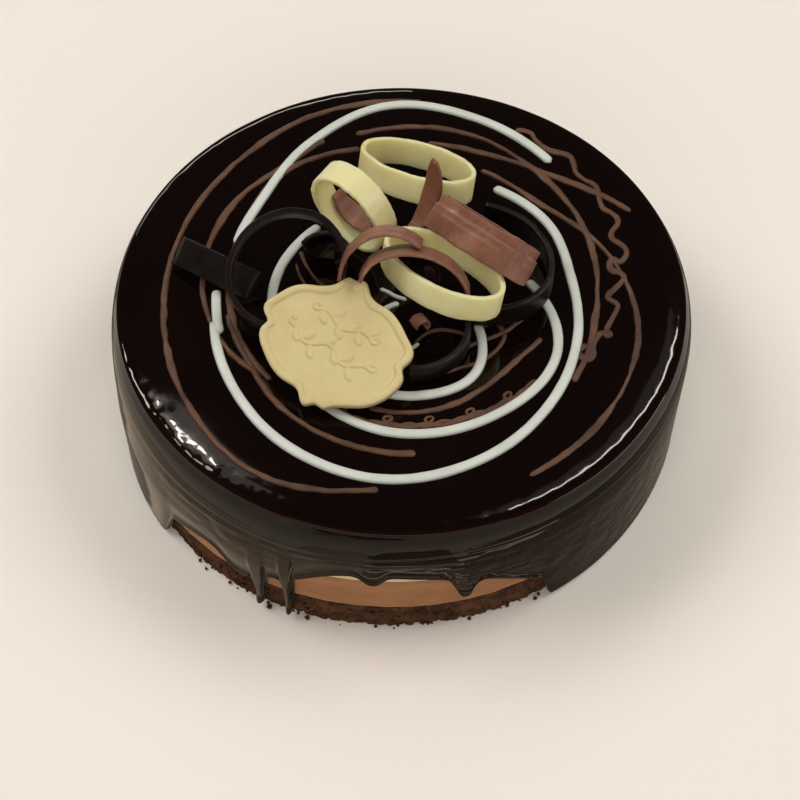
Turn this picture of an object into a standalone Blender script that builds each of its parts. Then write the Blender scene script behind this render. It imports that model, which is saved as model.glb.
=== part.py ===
"""Round triple chocolate mousse cake with a mirror glaze, piped lines and chocolate curls.

The cake stands on z = 0 with its centre on the z axis. +X is to the right and
-Y is the front, where the glaze edge is open and shows the layers.
"""
import bpy
import bmesh
import math
from mathutils import Vector

MM = 0.001

# cake body
CAKE_HEIGHT = 61.5 * MM
GLAZE_RADIUS = 102.0 * MM
GLAZE_WALL = 2.6 * MM
GLAZE_LIP = 2.1 * MM
ROOF_CORNER = 2.6 * MM
SIDE_LEAN = 3.2 * MM
LAYER_RADIUS = 99.0 * MM
SPONGE_TOP = 13.0 * MM
MILK_TOP = 31.0 * MM
GAP = 0.3 * MM
GLAZE_FOOT = 1.4 * MM
SPONGE_ROUGHNESS = 0.55 * MM

# rim of the glaze as (inset from the radius, drop below the top), in mm: a steep shoulder, a
# narrow edge and a long soft slope up to the flat top
RIM_STEPS = ((0.0, 14.0), (0.35, 9.5), (1.2, 5.2), (2.6, 2.2), (3.3, 1.2), (5.2, 0.6), (8.5, 0.22),
             (13.5, 0.0))

# piped lines
WHITE_WIDTH = 3.2 * MM
WHITE_HEIGHT = 1.5 * MM
BROWN_WIDTH = 2.0 * MM
BROWN_HEIGHT = 0.9 * MM
LINE_ROOT = 0.8 * MM

# chocolate bands and the plaque
PLAQUE_LENGTH = 57.0 * MM
PLAQUE_BREADTH = 46.0 * MM
PLAQUE_THICK = 3.2 * MM
PLAQUE_RIM = 2.4 * MM
PLAQUE_SINK = 0.8 * MM
# lobes and notches of its outline: angle round the oval, height in mm, half width in degrees
PLAQUE_LOBES = ((107, 2.6, 6), (96, 2.9, 5.5), (128, -2.2, 16), (80, -1.2, 9), (31, 1.3, 9),
                (13, -1.8, 6.5), (306, -0.6, 12), (289, 1.4, 5), (275, 2.7, 5.5), (262, -1.2, 10),
                (212, 0.5, 9), (195, -2.0, 6), (181, 1.4, 10))

# lower edge of the glaze round the open front, where the layers show (270 is the front):
# heights in mm at even steps between the two ends, and drips as (angle, length in mm, half width)
GLAZE_OPEN = (216.0, 301.0)
GLAZE_HEIGHTS = (15.6, 25.2, 23.6, 36.7, 36.1, 28.4, 11.2)
GLAZE_CORNERS = (3.0, 1.5)
GLAZE_DRIPS = (
    (238.0, 6.6, 4.0),
    (242.2, 18.5, 1.4),
    (248.2, 24.0, 1.15),
    (264.7, 5.5, 2.4),
    (282.0, 10.9, 2.4),
)

# piped lines: first and last angle in degrees, and the radius in mm at even steps between them
WHITE_LINES = {
    "outer_arc": (47, 154, (80.6, 85.7, 87.9, 76.7, 65.5, 63.0)),
    "left_dash": (181, 198, (64.0, 65.0)),
    "long_turn": (193, 414, (65.8, 70.5, 76.1, 79.0, 75.5, 69.5, 63.8, 59.4, 60.0, 57.1)),
    "inner_turn": (4, -224, (44.1, 59.9, 62.1, 60.7, 53.6, 47.1, 43.2, 40.3)),
    "centre_turn": (-31, -108, (30.2, 44.6, 46.4, 44.1)),
}
BROWN_LINES = {
    "wide_loop": (85, 265, (90.3, 89.1, 84.3, 82.2, 82.5, 86.0, 89.6, 83.0)),
    "right_wave": (73, -26, (89.0, 86.0, 83.6, 79.3, 73.6, 68.5)),
    "back_loop": (103, -35, (75.0, 77.5, 73.6, 70.4, 67.9, 70.1)),
    "back_strand": (82, 23, (69.1, 70.6, 76.4, 89.6)),
    "right_loop": (62, -62, (62.2, 63.4, 74.2, 82.9, 86.2, 87.7)),
    "front_arc": (-27, -98, (52.9, 50.8, 52.1)),
    "front_braid": (-41, -94, (57.9, 56.0)),
    "left_front_arc": (-86, -169, (69.2, 67.3, 64.4, 60.5, 60.7)),
    "left_loop": (112, 197, (75.5, 71.1, 72.1, 70.8, 69.9, 68.0)),
    "left_inner_loop": (103, 222, (67.5, 69.0, 63.6, 60.3, 59.3, 58.8)),
}
# lines laid in waves: height of the wave in mm, number of waves, start of the first one
LINE_WAVES = {
    "right_wave": (1.5, 9.5, 4.4),
    "front_braid": (0.65, 4.0, 1.4),
}

# every band: centre in mm, direction of the ring axis (azimuth, elevation), half sizes along the
# flat axis and across, turn of the oval, width along the axis, wall, arc in degrees or None
BANDS = {
    "white_ring_back": dict(at=(5.5, 43.5, 73.4), axis=(70, 68), size=(21.8, 14.2), turn=174,
                            width=10.0, wall=1.8),
    "white_ring_left": dict(at=(-16.4, 21.4, 79.4), axis=(234, -4), size=(17.0, 14.0),
                            turn=120, width=9.5, wall=1.8),
    "white_ring_centre": dict(at=(13.8, -8.0, 79.4), axis=(58, 72), size=(23.6, 14.8),
                              turn=171, width=9.5, wall=1.8),
    "dark_ring_left": dict(at=(-38.8, -4.3, 76.7), axis=(275, 62), size=(21.9, 19.4), turn=45,
                           width=8.0, wall=2.0),
    "dark_ring_right": dict(at=(27.1, 5.6, 68.6), axis=(270, 89), size=(26.6, 23.0), turn=-32,
                            width=9.6, wall=2.0, arc=(-82, 112)),
    "dark_ring_front": dict(at=(3.5, -22.5, 66.8), axis=(270, 89), size=(20.0, 19.0), turn=0,
                            width=7.4, wall=2.0, arc=(-93, 6)),
    "dark_curl_left": dict(at=(-49.1, 30.3, 24.2), axis=(60, 35), size=(55.0, 55.0), turn=0,
                           width=10.5, wall=1.8, arc=(73, 107)),
    "dark_curl_inner": dict(at=(-26.5, 10.0, 68.0), axis=(250, 70), size=(9.0, 7.0), turn=20,
                            width=8.0, wall=1.6, arc=(-60, 150)),
    "milk_curl_broad": dict(at=(27.4, 3.3, 83.7), axis=(50, 39), size=(21.2, 8.0), turn=0,
                            width=12.5, wall=1.8, arc=(-172, 184)),
    "milk_arch_left": dict(at=(-4.2, -13.6, 81.4), axis=(266, 30), size=(17.1, 18.8), turn=0,
                           width=9.0, wall=1.4, arc=(51, 176)),
    "milk_arch_right": dict(at=(4.2, -17.0, 80.8), axis=(268, 30), size=(19.0, 14.9),
                            turn=-13, width=9.0, wall=1.4, arc=(10, 180)),
    "milk_shard": dict(at=(3.1, 17.2, 90.5), axis=(320, 0), size=(13.9, 20.5), turn=0,
                       width=5.6, wall=1.5, arc=(-84, 19)),
    "milk_curl_left": dict(at=(-15.5, 25.5, 79.0), axis=(234, -4), size=(12.0, 10.0),
                           turn=120, width=8.0, wall=1.4, arc=(80, 260)),
    "milk_chip": dict(at=(6.3, -19.0, 66.0), axis=(300, 10), size=(3.0, 2.6), turn=0,
                      width=5.0, wall=1.0, arc=(-60, 170)),
}
BAND_STEPS = 32
PLAQUE_AT = (-22.0, -33.1, 73.0)
PLAQUE_AXIS = (253, 71)
PLAQUE_TURN = -17.0


def make_material(name, colour, roughness, coat=0.0):
    mat = bpy.data.materials.new(name)
    mat.use_nodes = True
    shader = mat.node_tree.nodes["Principled BSDF"]
    shader.inputs["Base Color"].default_value = (*colour, 1.0)
    shader.inputs["Roughness"].default_value = roughness
    shader.inputs["Coat Weight"].default_value = coat
    mat.diffuse_color = (*colour, 1.0)
    return mat


def make_object(name, verts, faces, mat):
    mesh = bpy.data.meshes.new(name)
    mesh.from_pydata([tuple(v) for v in verts], [], faces)
    mesh.validate()
    bm = bmesh.new()
    bm.from_mesh(mesh)
    bmesh.ops.recalc_face_normals(bm, faces=bm.faces)
    bm.to_mesh(mesh)
    bm.free()
    obj = bpy.data.objects.new(name, mesh)
    obj.data.materials.append(mat)
    bpy.context.scene.collection.objects.link(obj)
    return obj


def polar(angle, radius, z):
    a = math.radians(angle)
    return (radius * math.cos(a), radius * math.sin(a), z)


def bell(x, half_width):
    return math.exp(-(x / half_width) ** 2)


def spread(angle, z):
    """The lower half of the cake stands out a little on the front left."""
    share = max(0.0, min(1.0, (58.0 * MM - z) / (58.0 * MM - MILK_TOP)))
    return SIDE_LEAN * bell(angle - 226.0, 40.0) * share


def wall_point(angle, radius, z):
    return polar(angle, radius + spread(angle, z), z)


def turn_solid(name, columns, rings, mat):
    """Closed solid from rings of points, each ring a function of the angle, poles closed."""
    verts = []
    faces = []
    count = len(columns)
    for ring in rings:
        verts += [ring(a) for a in columns]
    for r in range(len(rings) - 1):
        for i in range(count):
            j = (i + 1) % count
            faces.append((r * count + i, r * count + j, (r + 1) * count + j,
                          (r + 1) * count + i))
    faces.append(tuple(range(count)))
    faces.append(tuple(range((len(rings) - 1) * count, len(rings) * count)))
    return make_object(name, verts, faces, mat)


# ---- layers -------------------------------------------------------------------------------

def crumb(angle, level):
    """Rough side of the sponge: sum of a few waves that don't repeat evenly."""
    a = math.radians(angle)
    wave = math.sin(11 * a + 1.3 * level) + 0.8 * math.sin(23 * a - 2.1 * level)
    wave += 0.9 * math.sin(37 * a + 0.7 * level * level)
    return SPONGE_ROUGHNESS * (wave / 2.7 - 0.9)


def build_sponge(mat):
    columns = [i * 360.0 / 96 for i in range(96)]
    levels = [0.0, 0.9, 4.0, 7.4, 10.6, SPONGE_TOP / MM]
    rings = []
    for k, z in enumerate(levels):
        inset = 0.8 * MM if k in (0, len(levels) - 1) else 0.0
        rings.append(lambda a, z=z, k=k, inset=inset: wall_point(
            a, LAYER_RADIUS + crumb(a, k) - inset, z * MM))
    return turn_solid("sponge_base", columns, rings, mat)


def build_layer(name, bottom, top, mat, corner=0.8 * MM):
    soft = 0.8 * MM
    columns = [i * 360.0 / 80 for i in range(80)]
    rings = [
        lambda a: wall_point(a, LAYER_RADIUS - soft, bottom),
        lambda a: wall_point(a, LAYER_RADIUS, bottom + soft),
        lambda a: wall_point(a, LAYER_RADIUS, top - corner),
        lambda a: wall_point(a, LAYER_RADIUS - corner, top),
    ]
    return turn_solid(name, columns, rings, mat)


# ---- glaze --------------------------------------------------------------------------------

def even_steps(values, share):
    """Smooth curve through values at even steps, read at a share from 0 to 1."""
    spot = min(int(share * (len(values) - 1)), len(values) - 2)
    t = share * (len(values) - 1) - spot
    ends = [2 * values[0] - values[1], *values, 2 * values[-1] - values[-2]]
    a, b, c, d = ends[spot:spot + 4]
    return 0.5 * (2 * b + (c - a) * t + (2 * a - 5 * b + 4 * c - d) * t * t
                  + (3 * b - a - 3 * c + d) * t ** 3)


def ease(t):
    t = max(0.0, min(1.0, t))
    return t * t * (3.0 - 2.0 * t)


def glaze_edge(angle):
    """Height of the lower edge of the glaze at an angle round the cake."""
    first, last = GLAZE_OPEN
    if angle <= first or angle >= last:
        return GLAZE_FOOT
    height = even_steps(GLAZE_HEIGHTS, (angle - first) / (last - first))
    for at, length, half in GLAZE_DRIPS:
        height -= length * math.exp(-abs((angle - at) / half) ** 2.6)
    open_share = ease((angle - first) / GLAZE_CORNERS[0]) * ease((last - angle) / GLAZE_CORNERS[1])
    return max(GLAZE_FOOT, GLAZE_FOOT + (height * MM - GLAZE_FOOT) * open_share)


def glaze_columns():
    """Even columns round the closed side, and closer ones at the open edge and its drips."""
    first, last = GLAZE_OPEN
    angles = []
    for at, length, half in GLAZE_DRIPS:
        for step in (-1.35, -0.9, -0.5, 0.0, 0.5, 0.9, 1.35):
            spot = at + step * half
            if all(abs(spot - a) > 0.4 for a in angles):
                angles.append(spot)
    angles += [first, first + 1.0, first + 2.0, first + 3.2, last, last - 0.8, last - 1.7]
    angles += [a for a in range(222, 299, 3) if all(abs(a - b) > 1.6 for b in angles)]
    angles += [a for a in range(0, 360, 5) if a < first - 2 or a > last + 2]
    return sorted(angles + [first - 2.0, last + 1.5])


def glaze_bulge(angle):
    """Slow unevenness of the poured side."""
    a = math.radians(angle)
    return 0.35 * MM * (math.sin(3 * a + 0.6) + 0.6 * math.sin(7 * a + 2.0))


def glaze_outside(angle, z):
    """Radius of the outer side: thinner towards its lower edge where the front is open."""
    first, last = GLAZE_OPEN
    front = ease((angle - first) / 4.0) * ease((last - angle) / 4.0)
    near_edge = 1.0 - max(0.0, min(1.0, (z - glaze_edge(angle)) / (20.0 * MM)))
    thinner = GLAZE_RADIUS - LAYER_RADIUS - GLAZE_LIP
    return GLAZE_RADIUS - thinner * front * near_edge + spread(angle, z)


def build_glaze(mat):
    columns = glaze_columns()
    inner = LAYER_RADIUS + 1.7 * GAP
    roof = CAKE_HEIGHT - GLAZE_WALL
    rings = []

    def outside(z_at, inset, wave):
        return lambda a: polar(a, glaze_outside(a, z_at(a)) - inset + wave * glaze_bulge(a), z_at(a))

    # inner side from the centre of the roof outwards and down, then up the outside
    rings.append(lambda a: polar(a, 60.0 * MM, roof))
    rings.append(lambda a: polar(a, inner - ROOF_CORNER, roof))
    rings.append(lambda a: wall_point(a, inner, roof - ROOF_CORNER))
    rings.append(lambda a: wall_point(a, inner, max(MILK_TOP, glaze_edge(a) + 4.0 * MM)))
    rings.append(lambda a: wall_point(a, inner, glaze_edge(a) + 0.9 * MM))
    rings.append(lambda a: wall_point(a, inner + 0.6 * MM, glaze_edge(a)))
    rings.append(outside(lambda a: glaze_edge(a) + 0.1 * MM, 0.8 * MM, 0.3))
    rings.append(outside(lambda a: glaze_edge(a) + 1.4 * MM, 0.1 * MM, 0.3))
    rings.append(outside(lambda a: max(37.0 * MM, glaze_edge(a) + 4.0 * MM), 0.2 * MM, 0.5))
    for inset, drop in RIM_STEPS:
        wave = min(1.0, drop / 8.0)
        rings.append(outside(lambda a, drop=drop: CAKE_HEIGHT - drop * MM, inset * MM, wave))
    return turn_solid("mirror_glaze", columns, rings, mat)


def line_path(name, first, last, radii, step):
    """Points along a piped line, about one step apart."""
    height, waves, start = LINE_WAVES.get(name, (0.0, 0.0, 0.0))
    mean = sum(radii) / len(radii)
    count = max(2, round(abs(math.radians(last - first)) * mean / step))
    path = []
    for i in range(count + 1):
        share = i / count
        radius = even_steps(radii, share)
        radius += height * math.sin(2 * math.pi * waves * share + start)
        path.append(Vector(polar(first + (last - first) * share, radius * MM, 0.0)))
    return path


def build_line(name, sizes, width, height, mat, step):
    path = line_path(name, *sizes, step)
    section = [(-0.5, -LINE_ROOT), (-0.47, 0.3 * height), (-0.22, height), (0.22, height),
               (0.47, 0.3 * height), (0.5, -LINE_ROOT)]
    if width < 2.5 * MM:
        section = [(-0.5, -LINE_ROOT), (-0.3, height), (0.3, height), (0.5, -LINE_ROOT)]
    verts = []
    faces = []
    size = len(section)
    for i, p in enumerate(path):
        ahead = path[min(i + 1, len(path) - 1)]
        behind = path[max(i - 1, 0)]
        along = (ahead - behind).normalized()
        side = Vector((-along.y, along.x, 0.0))
        end = 0.62 if i in (0, len(path) - 1) else 1.0
        for s, z in section:
            lift = z if z < 0 else z * (0.6 if end < 1.0 else 1.0)
            verts.append(p + side * s * width * end + Vector((0, 0, CAKE_HEIGHT + lift)))
    for i in range(len(path) - 1):
        for k in range(size):
            m = (k + 1) % size
            faces.append((i * size + k, i * size + m, (i + 1) * size + m, (i + 1) * size + k))
    faces.append(tuple(range(size)))
    faces.append(tuple(range((len(path) - 1) * size, len(path) * size)))
    return make_object(name, verts, faces, mat)


def pipe_lines(glaze, mat):
    """Lay the piped lines on the glaze and join them to it."""
    group = bpy.data.collections.new("piped_lines")
    bpy.context.scene.collection.children.link(group)
    number = 0
    lines = [(n, s, WHITE_WIDTH, WHITE_HEIGHT, 6.5) for n, s in WHITE_LINES.items()]
    lines += [(n, s, BROWN_WIDTH, BROWN_HEIGHT, 7.5) for n, s in BROWN_LINES.items()]
    for name, sizes, width, height, step in lines:
        number += 1
        if name in LINE_WAVES:
            step = 3.6
        obj = build_line(name, sizes, width, height + 0.013 * number * MM, mat, step)
        bpy.context.scene.collection.objects.unlink(obj)
        group.objects.link(obj)
    join = glaze.modifiers.new("join_lines", "BOOLEAN")
    join.operation = "UNION"
    join.operand_type = "COLLECTION"
    join.collection = group
    join.solver = "EXACT"
    apply_modifiers(glaze)
    for obj in list(group.objects):
        bpy.data.objects.remove(obj, do_unlink=True)
    bpy.data.collections.remove(group)


def apply_modifiers(obj):
    bpy.context.view_layer.update()
    graph = bpy.context.evaluated_depsgraph_get()
    mesh = bpy.data.meshes.new_from_object(obj.evaluated_get(graph))
    obj.modifiers.clear()
    obj.data = mesh
    bm = bmesh.new()
    bm.from_mesh(mesh)
    bmesh.ops.remove_doubles(bm, verts=bm.verts, dist=0.00002)
    bmesh.ops.dissolve_degenerate(bm, edges=bm.edges, dist=0.00001)
    bmesh.ops.triangulate(bm, faces=bm.faces)
    bm.to_mesh(mesh)
    bm.free()


# ---- toppings -----------------------------------------------------------------------------

def axis_frame(azimuth, elevation, turn):
    az = math.radians(azimuth)
    el = math.radians(elevation)
    n = Vector((math.cos(el) * math.cos(az), math.cos(el) * math.sin(az), math.sin(el)))
    u = Vector((-math.sin(az), math.cos(az), 0.0))
    v = n.cross(u)
    t = math.radians(turn)
    return u * math.cos(t) + v * math.sin(t), v * math.cos(t) - u * math.sin(t), n


def build_band(name, mat, at, axis, size, turn, width, wall, arc=None):
    u, v, n = axis_frame(*axis, turn)
    centre = Vector(at) * MM
    closed = arc is None
    count = BAND_STEPS if closed else max(6, round(BAND_STEPS * (arc[1] - arc[0]) / 360.0))
    angles = []
    for i in range(count + (0 if closed else 1)):
        if closed:
            angles.append(360.0 * i / count)
        else:
            angles.append(arc[0] + (arc[1] - arc[0]) * i / count)
    verts = []
    faces = []
    half = 0.5 * width * MM
    for a in angles:
        t = math.radians(a)
        for inset, level in ((0.0, -half), (0.0, half), (wall, half), (wall, -half)):
            p = centre + u * (size[0] - inset) * MM * math.cos(t)
            p += v * (size[1] - inset) * MM * math.sin(t) + n * level
            verts.append(p)
    rows = len(angles)
    for i in range(rows if closed else rows - 1):
        j = (i + 1) % rows
        for k in range(4):
            m = (k + 1) % 4
            faces.append((i * 4 + k, i * 4 + m, j * 4 + m, j * 4 + k))
    if not closed:
        faces.append((0, 1, 2, 3))
        faces.append(tuple((rows - 1) * 4 + k for k in range(4)))
    return make_object(name, verts, faces, mat)


def plaque_outline(phi):
    """Cartouche: an oval with a double lobe above and below and one at each side."""
    x = 0.5 * PLAQUE_LENGTH * 0.93 * math.cos(phi)
    y = 0.5 * PLAQUE_BREADTH * 0.90 * math.sin(phi)
    deg = math.degrees(phi) % 360.0
    push = 0.0
    for at, height, half in PLAQUE_LOBES:
        gap = (deg - at + 180.0) % 360.0 - 180.0
        push += height * MM * bell(gap, half)
    length = math.hypot(x, y)
    return x * (1 + push / length), y * (1 + push / length)


def build_plaque(mat):
    u, v, n = axis_frame(*PLAQUE_AXIS, PLAQUE_TURN)
    centre = Vector(PLAQUE_AT) * MM
    count = 72
    top = 0.5 * PLAQUE_THICK
    rings = [(0.9 * MM, -top), (0.0, -top + 0.7 * MM), (0.0, top - 0.7 * MM),
             (0.7 * MM, top), (PLAQUE_RIM, top), (PLAQUE_RIM + 0.8 * MM, top - PLAQUE_SINK)]
    verts = []
    faces = []
    for inset, level in rings:
        for i in range(count):
            x, y = plaque_outline(2 * math.pi * i / count)
            keep = 1.0 - inset / math.hypot(x, y)
            verts.append(centre + u * x * keep + v * y * keep + n * level)
    for r in range(len(rings) - 1):
        for i in range(count):
            j = (i + 1) % count
            faces.append((r * count + i, r * count + j, (r + 1) * count + j,
                          (r + 1) * count + i))
    faces.append(tuple(range(count)))
    faces.append(tuple(range((len(rings) - 1) * count, len(rings) * count)))
    return make_object("white_plaque", verts, faces, mat)


def centre_on_axis():
    """Shift everything so that the whole stands centred on the z axis, on z = 0."""
    low = [1e9, 1e9, 1e9]
    high = [-1e9, -1e9, -1e9]
    for obj in bpy.data.objects:
        for vert in obj.data.vertices:
            for k in range(3):
                low[k] = min(low[k], vert.co[k])
                high[k] = max(high[k], vert.co[k])
    shift = Vector((-0.5 * (low[0] + high[0]), -0.5 * (low[1] + high[1]), -low[2]))
    for obj in bpy.data.objects:
        for vert in obj.data.vertices:
            vert.co += shift


def main():
    for obj in list(bpy.data.objects):
        bpy.data.objects.remove(obj, do_unlink=True)

    glaze_mat = make_material("dark_mirror_glaze", (0.012, 0.006, 0.005), 0.05, 1.0)
    sponge_mat = make_material("cocoa_sponge", (0.045, 0.018, 0.010), 0.9)
    milk_mat = make_material("milk_mousse", (0.33, 0.15, 0.075), 0.6)
    white_mat = make_material("white_mousse", (0.75, 0.58, 0.36), 0.6)
    ivory_mat = make_material("white_chocolate", (0.80, 0.66, 0.38), 0.4)
    brown_mat = make_material("milk_chocolate", (0.22, 0.085, 0.05), 0.4)
    dark_mat = make_material("dark_chocolate", (0.022, 0.011, 0.009), 0.35)

    build_sponge(sponge_mat)
    build_layer("milk_mousse", SPONGE_TOP + GAP, MILK_TOP, milk_mat)
    build_layer("white_mousse", MILK_TOP + GAP, CAKE_HEIGHT - GLAZE_WALL - GAP, white_mat,
                ROOF_CORNER)
    glaze = build_glaze(glaze_mat)
    pipe_lines(glaze, glaze_mat)

    for name, sizes in BANDS.items():
        kind = name.split("_")[0]
        mat = {"white": ivory_mat, "milk": brown_mat, "dark": dark_mat}[kind]
        build_band(name, mat, **sizes)
    build_plaque(ivory_mat)
    centre_on_axis()


main()
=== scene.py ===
import bpy
import bmesh
import math
import random
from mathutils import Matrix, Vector, noise


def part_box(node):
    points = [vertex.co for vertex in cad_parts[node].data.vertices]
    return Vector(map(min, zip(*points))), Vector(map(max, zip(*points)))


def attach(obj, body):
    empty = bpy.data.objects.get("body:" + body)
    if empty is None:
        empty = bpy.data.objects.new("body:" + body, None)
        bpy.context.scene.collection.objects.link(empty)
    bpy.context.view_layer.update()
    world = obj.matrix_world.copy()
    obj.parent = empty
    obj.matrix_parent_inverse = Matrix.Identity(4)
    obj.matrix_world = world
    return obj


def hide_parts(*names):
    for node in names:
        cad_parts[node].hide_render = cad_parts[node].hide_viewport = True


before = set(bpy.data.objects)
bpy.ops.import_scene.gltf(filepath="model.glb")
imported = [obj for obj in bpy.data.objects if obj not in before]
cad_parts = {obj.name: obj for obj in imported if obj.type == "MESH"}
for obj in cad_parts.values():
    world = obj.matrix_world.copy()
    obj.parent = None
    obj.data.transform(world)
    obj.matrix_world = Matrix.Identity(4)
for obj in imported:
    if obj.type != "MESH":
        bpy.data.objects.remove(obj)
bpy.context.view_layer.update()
mm = 0.001
# the frame is centred on the outline of the whole cake, so its round axis lies a little off the
# origin: it is found from the centre ring, which has a known place on the cake
ringPlace = (13.8 * mm, -8.0 * mm)
low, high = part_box("white_ring_centre")
middle = Vector(((low[0] + high[0]) / 2 - ringPlace[0], (low[1] + high[1]) / 2 - ringPlace[1], 0.0))
print("frame loaded, axis of the cake at", tuple(round(v / mm, 2) for v in middle))


# shader helpers: a socket that can be added, multiplied and so on

class Value:
    def __init__(self, graph, socket):
        self.graph = graph
        self.socket = socket

    def math(self, operation, other, swap=False):
        pair = (other, self) if swap else (self, other)
        made = self.graph.node("ShaderNodeMath", {"operation": operation}, dict(enumerate(pair)))
        return made["Value"]

    def __add__(self, other):
        return self.math("ADD", other)

    def __radd__(self, other):
        return self.math("ADD", other, True)

    def __sub__(self, other):
        return self.math("SUBTRACT", other)

    def __rsub__(self, other):
        return self.math("SUBTRACT", other, True)

    def __mul__(self, other):
        return self.math("MULTIPLY", other)

    def __rmul__(self, other):
        return self.math("MULTIPLY", other, True)

    def clip(self):
        made = self.graph.node("ShaderNodeClamp", {}, {"Value": self})
        return made["Result"]


class Made:
    def __init__(self, graph, node):
        self.graph = graph
        self.node = node

    def __getitem__(self, name):
        return Value(self.graph, self.node.outputs[name])


class Finish:
    def __init__(self, name, fixed):
        self.material = bpy.data.materials.new(name)
        self.material.use_nodes = True
        self.tree = self.material.node_tree
        self.shader = self.tree.nodes["Principled BSDF"]
        for socket, value in fixed.items():
            self.shader.inputs[socket].default_value = value
        self.place = self.node("ShaderNodeTexCoord")["Object"]

    def node(self, kind, settings=None, sockets=None):
        made = self.tree.nodes.new(kind)
        for key, value in (settings or {}).items():
            if key == "stops":
                ramp = made.color_ramp
                while len(ramp.elements) < len(value):
                    ramp.elements.new(0.5)
                for element, (at, colour) in zip(ramp.elements, value):
                    element.position = at
                    element.color = (*colour, 1.0)
            else:
                setattr(made, key, value)
        for key, value in (sockets or {}).items():
            if isinstance(value, Value):
                self.tree.links.new(value.socket, made.inputs[key])
            else:
                made.inputs[key].default_value = value
        return Made(self, made)

    def noise(self, scale, detail, rough=0.5, stretch=None):
        at = self.place
        if stretch:
            at = self.node("ShaderNodeVectorMath", {"operation": "MULTIPLY"},
                           {0: self.place, 1: stretch})["Vector"]
        sockets = {"Vector": at, "Scale": scale, "Detail": detail, "Roughness": rough}
        return self.node("ShaderNodeTexNoise", {}, sockets)["Fac"]

    def cells(self, scale):
        return self.node("ShaderNodeTexVoronoi", {},
                         {"Vector": self.place, "Scale": scale})["Distance"]

    def step(self, value, start, end):
        return self.node("ShaderNodeMapRange", {"interpolation_type": "SMOOTHSTEP"},
                         {"Value": value, "From Min": start, "From Max": end})["Result"]

    def mix(self, amount, first, second):
        made = self.tree.nodes.new("ShaderNodeMix")
        made.data_type = "RGBA"
        colourIn = [s for s in made.inputs if s.type == "RGBA"]
        for socket, value in zip(colourIn, (first, second)):
            if isinstance(value, Value):
                self.tree.links.new(value.socket, socket)
            else:
                socket.default_value = (*value, 1.0)
        self.tree.links.new(amount.socket, made.inputs["Factor"])
        return Value(self, [s for s in made.outputs if s.type == "RGBA"][0])

    def bump(self, height, distance, strength):
        sockets = {"Height": height, "Distance": distance, "Strength": strength}
        return self.node("ShaderNodeBump", {}, sockets)["Normal"]

    def feed(self, **sockets):
        names = {"colour": "Base Color", "roughness": "Roughness", "normal": "Normal"}
        for key, value in sockets.items():
            self.tree.links.new(value.socket, self.shader.inputs[names[key]])
        return self.material


# finishes

# zones run from where a look starts to where it is full, as heights above the table
glazeFinish = {
    "deep": (0.0028, 0.0010, 0.0008), "plain": (0.0058, 0.0024, 0.0019),
    "side": (0.0120, 0.0062, 0.0034), "sideZone": (57.5 * mm, 30.0 * mm),
    "rim": (0.026, 0.0035, 0.0028), "rimShare": 0.25,
    "rimBelow": (58.8 * mm, 59.7 * mm), "rimAbove": (60.8 * mm, 60.3 * mm),
    "sagZone": (50.0 * mm, 40.0 * mm), "sagHeight": 6.0,
    "roughness": 0.030, "bumpDistance": 1.2 * mm, "bumpStrength": 0.10,
}


def mirrorGlaze():
    look = glazeFinish
    # the warm specular tint paints warmth into the coat's reflections: a painted reflection of warm
    # surroundings
    f = Finish("mirror glaze", {"IOR": 1.36, "Specular IOR Level": 0.42,
                                "Specular Tint": (1.0, 0.90, 0.78, 1.0)})
    tall = f.node("ShaderNodeSeparateXYZ", {}, {"Vector": f.place})["Z"]
    colour = f.mix(f.noise(22.0, 2.0), look["deep"], look["plain"])
    # on the side the coat lets the brown of the mousse through
    colour = f.mix(f.step(tall, *look["sideZone"]), colour, look["side"])
    # the glaze is thinnest on the narrow edge of the rim and shows dark red there
    thin = f.step(tall, *look["rimBelow"]) * f.step(tall, *look["rimAbove"])
    colour = f.mix(thin * look["rimShare"], colour, look["rim"])
    dust = f.step(f.cells(260.0), 0.10, 0.04)
    haze = f.noise(60.0, 4.0)
    wave = f.noise(24.0, 2.0, 0.45, (1.0, 1.0, 1.6))
    small = f.noise(150.0, 2.0)
    pocks = f.step(f.cells(95.0), 0.13, 0.05)
    # the coat sagged into fine ripples low on the side
    ripples = f.noise(135.0, 1.5, 0.5, (1.0, 1.0, 1.3))
    sagged = f.step(tall, *look["sagZone"]) * f.step(f.noise(14.0, 2.0), 0.42, 0.60)
    height = wave + small * 0.10 - pocks * 0.08 + ripples * sagged * look["sagHeight"]
    return f.feed(colour=colour, roughness=look["roughness"] + haze * 0.06 + dust * 0.03,
                  normal=f.bump(height, look["bumpDistance"], look["bumpStrength"]))


def chocolate(name, deep, plain, pale, rough, bloom, streak=120.0, shine=0.42, glow=0.0):
    f = Finish(name, {"IOR": 1.45, "Specular IOR Level": shine, "Subsurface Weight": glow,
                      "Subsurface Radius": (1.0, 0.85, 0.45), "Subsurface Scale": 5.0 * mm})
    patch = f.noise(55.0, 4.0, 0.6)
    lines = f.noise(streak, 3.0, 0.6, (1.0, 1.0, 0.25))
    grain = f.noise(900.0, 2.0)
    colour = f.mix(f.step(patch, 0.30, 0.62), deep, plain)
    colour = f.mix(f.step(lines + patch * 0.3, 0.62, 0.92) * bloom, colour, pale)
    height = lines * 0.6 + grain * 0.15 + patch
    return f.feed(colour=colour, roughness=rough - 0.08 + patch * 0.12 + grain * 0.06,
                  normal=f.bump(height, 0.5 * mm, 0.30))


def piping(name, deep, plain, rough, pit):
    f = Finish(name, {"IOR": 1.45, "Specular IOR Level": 0.4})
    patch = f.noise(90.0, 3.0)
    grain = f.noise(700.0, 3.0)
    colour = f.mix(f.step(patch, 0.25, 0.65), deep, plain)
    return f.feed(colour=colour, roughness=rough + grain * 0.12,
                  normal=f.bump(patch * 0.8 + grain * pit, 0.6 * mm, 0.4))


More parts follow.
